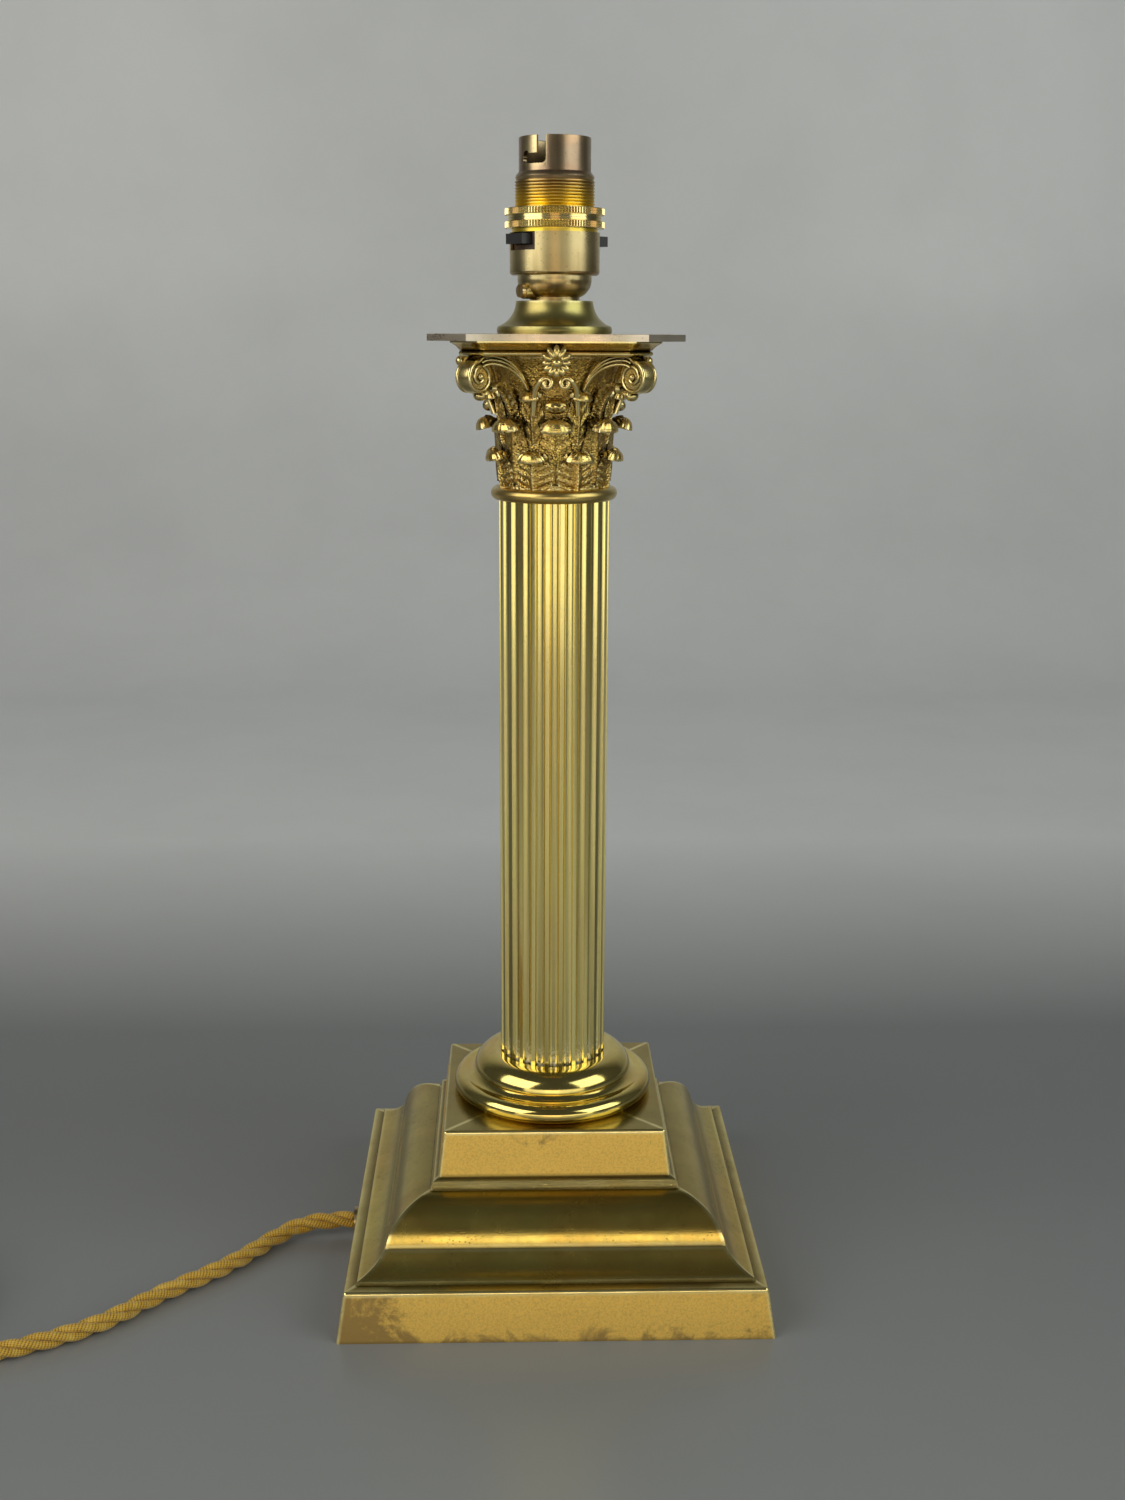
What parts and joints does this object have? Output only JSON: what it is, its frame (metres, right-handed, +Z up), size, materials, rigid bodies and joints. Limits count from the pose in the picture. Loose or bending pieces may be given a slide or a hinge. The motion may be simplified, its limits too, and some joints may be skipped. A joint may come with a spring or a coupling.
{
  "type": "column table lamp",
  "caption": "Brass fluted column lamp on a stepped square base, with a leaf capital and a switched bayonet lampholder, twisted flex and plug.",
  "frame": {"origin": "middle of the plinth's underside, on the table", "axes": "+Z up the column, the front faces -Y, the flex leaves towards -X"},
  "size_m": [0.4269, 0.1955, 0.4208],
  "materials": {
    "base_brass": "polished, satin on the plinth and die faces, worn edges",
    "column_brass": "polished, lightly aged",
    "capital_brass": "cast, bright high points over dark recesses",
    "plate_brass": "dull grey-brown patina",
    "holder_brass": "brown patina",
    "ring_brass": "bright, milled rims",
    "steel": "zinc plated",
    "insulator": "black moulding",
    "silk_flex": "gold twisted braid",
    "plug_black": "black moulding",
    "tie_band": "woven band",
    "ceramic": "white ceramic tube"
  },
  "bodies": {
    "root": {"stepped_base": "base_brass", "column_base_ring": "column_brass", "fluted_shaft": "column_brass", "neck_ring": "column_brass", "capital": "capital_brass", "abacus_plate": "plate_brass", "flared_collar": "column_brass", "threaded_stem": "steel", "clamp_bar": "steel", "bottom_washer": "steel", "bottom_nut": "steel", "plate_nut": "steel", "holder_cap": "holder_brass", "clamp_screw": "holder_brass", "switch_housing": "holder_brass", "switch_block": "insulator", "plunger_carrier": "insulator", "plunger_spring_live": "steel", "plunger_spring_neutral": "steel", "bayonet_skirt": "holder_brass", "terminal_live": "ring_brass", "terminal_neutral": "ring_brass", "terminal_screw_live": "ring_brass", "terminal_screw_neutral": "ring_brass", "flex_bush": "column_brass", "inner_flex": "silk_flex", "flex_free": "silk_flex", "flex_coil": "silk_flex", "coil_tie": "tie_band", "flex_tail": "silk_flex", "plug_cover": "plug_black", "plug_base": "plug_black", "plug_pin_live": "ring_brass", "plug_pin_neutral": "ring_brass", "plug_pin_earth": "ring_brass", "plug_screw": "steel", "plug_fuse": "ceramic"},
    "push_bar": {"push_bar": "insulator", "contact_bridge": "ring_brass"},
    "plunger_live": {"plunger_live": "ring_brass"},
    "plunger_neutral": {"plunger_neutral": "ring_brass"},
    "lower_ring": {"lower_shade_ring": "ring_brass"},
    "upper_ring": {"upper_shade_ring": "ring_brass"}
  },
  "joints": [
    {"name": "push_bar_slide", "type": "slide", "parent": "root", "child": "push_bar", "axis": [-0.788, -0.6157, 0], "range_m": [0, 0.0026]},
    {"name": "plunger_live_slide", "type": "slide", "parent": "root", "child": "plunger_live", "axis": [0, 0, -1], "range_m": [0, 0.004], "stiffness_N_per_m": 1000, "springref_m": -0.001, "deforming": ["plunger_spring_live"]},
    {"name": "plunger_neutral_slide", "type": "slide", "parent": "root", "child": "plunger_neutral", "axis": [0, 0, -1], "range_m": [0, 0.004], "stiffness_N_per_m": 1000, "springref_m": -0.001, "deforming": ["plunger_spring_neutral"]},
    {"name": "lower_ring_turn", "type": "hinge", "parent": "root", "child": "lower_ring", "pos_m": [0, 0, 0.3918], "axis": [0, 0, 1], "continuous": true},
    {"name": "upper_ring_slide", "type": "slide", "parent": "root", "child": "upper_ring", "axis": [0, 0, 1], "range_m": [0, 0.0102]}
  ]
}
